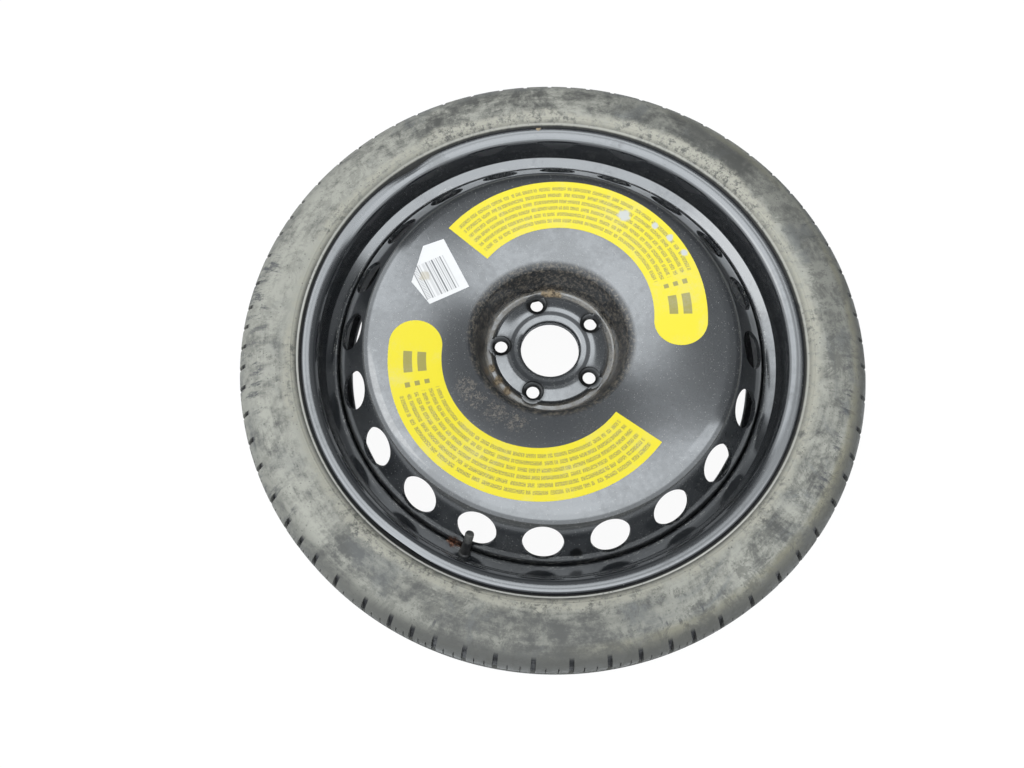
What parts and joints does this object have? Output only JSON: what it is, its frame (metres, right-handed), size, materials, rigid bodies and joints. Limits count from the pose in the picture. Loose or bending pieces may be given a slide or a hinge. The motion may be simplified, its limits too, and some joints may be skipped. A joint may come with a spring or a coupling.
{
  "type": "spare wheel",
  "caption": "Temporary spare wheel: narrow tyre on a welded steel rim and domed, vented disc with a bolt circle, a snap-in valve with screw cap, and plain yellow stickers.",
  "frame": {"origin": "centre of the bolt circle, 6 mm outboard of the ring that rests on the hub", "axes": "+Z along the wheel axis, towards the outer face; the wheel lies on its inner sidewall; the first bolt hole from +X is at 18 degrees"},
  "size_m": [0.6964, 0.6964, 0.145],
  "materials": {
    "tyre": "dusty grey-black rubber with beige dirt",
    "black_paint": "gloss black paint, dusty and scratched",
    "valve_rubber": "matt black rubber",
    "seal_rubber": "matt dark rubber",
    "brass": "dull turned brass",
    "spring_steel": "bright drawn wire",
    "cap_plastic": "worn black moulded plastic",
    "yellow_film": "bright yellow printed film",
    "white_film": "white printed film"
  },
  "bodies": {
    "wheel": {"tyre": "tyre", "rim": "black_paint", "wheel_disc": "black_paint", "disc_weld_beads": "black_paint", "valve_body": "valve_rubber", "valve_stem": "brass", "valve_core_body": "brass", "valve_core_gasket": "seal_rubber", "valve_core_spring": "spring_steel", "upper_sticker": "yellow_film", "lower_sticker": "yellow_film", "stock_sticker": "white_film"},
    "core_pin": {"valve_core_pin": "brass", "valve_core_cup_seal": "seal_rubber"},
    "cap_seal": {"valve_cap_seal": "seal_rubber"},
    "cap": {"valve_cap": "cap_plastic"}
  },
  "joints": [
    {"name": "core_pin_press", "type": "slide", "parent": "wheel", "child": "core_pin", "axis": [-0.3868, -0.5134, -0.766], "range_m": [0, 0.0012], "stiffness_N_per_m": 1500, "springref_m": -0.002, "deforming": ["valve_core_spring"]},
    {"name": "cap_lift", "type": "slide", "parent": "wheel", "child": "cap_seal", "axis": [0.3868, 0.5134, 0.766], "range_m": [0, 0.00715]},
    {"name": "cap_turn", "type": "hinge", "parent": "cap_seal", "child": "cap", "pos_m": [-0.14944, -0.19832, 0.00486], "axis": [0.3868, 0.5134, 0.766], "range_deg": [0, 3240]}
  ],
  "couplings": [
    {"joint": "cap_turn", "follows": "cap_lift", "rad_per_m": 7913.3}
  ]
}
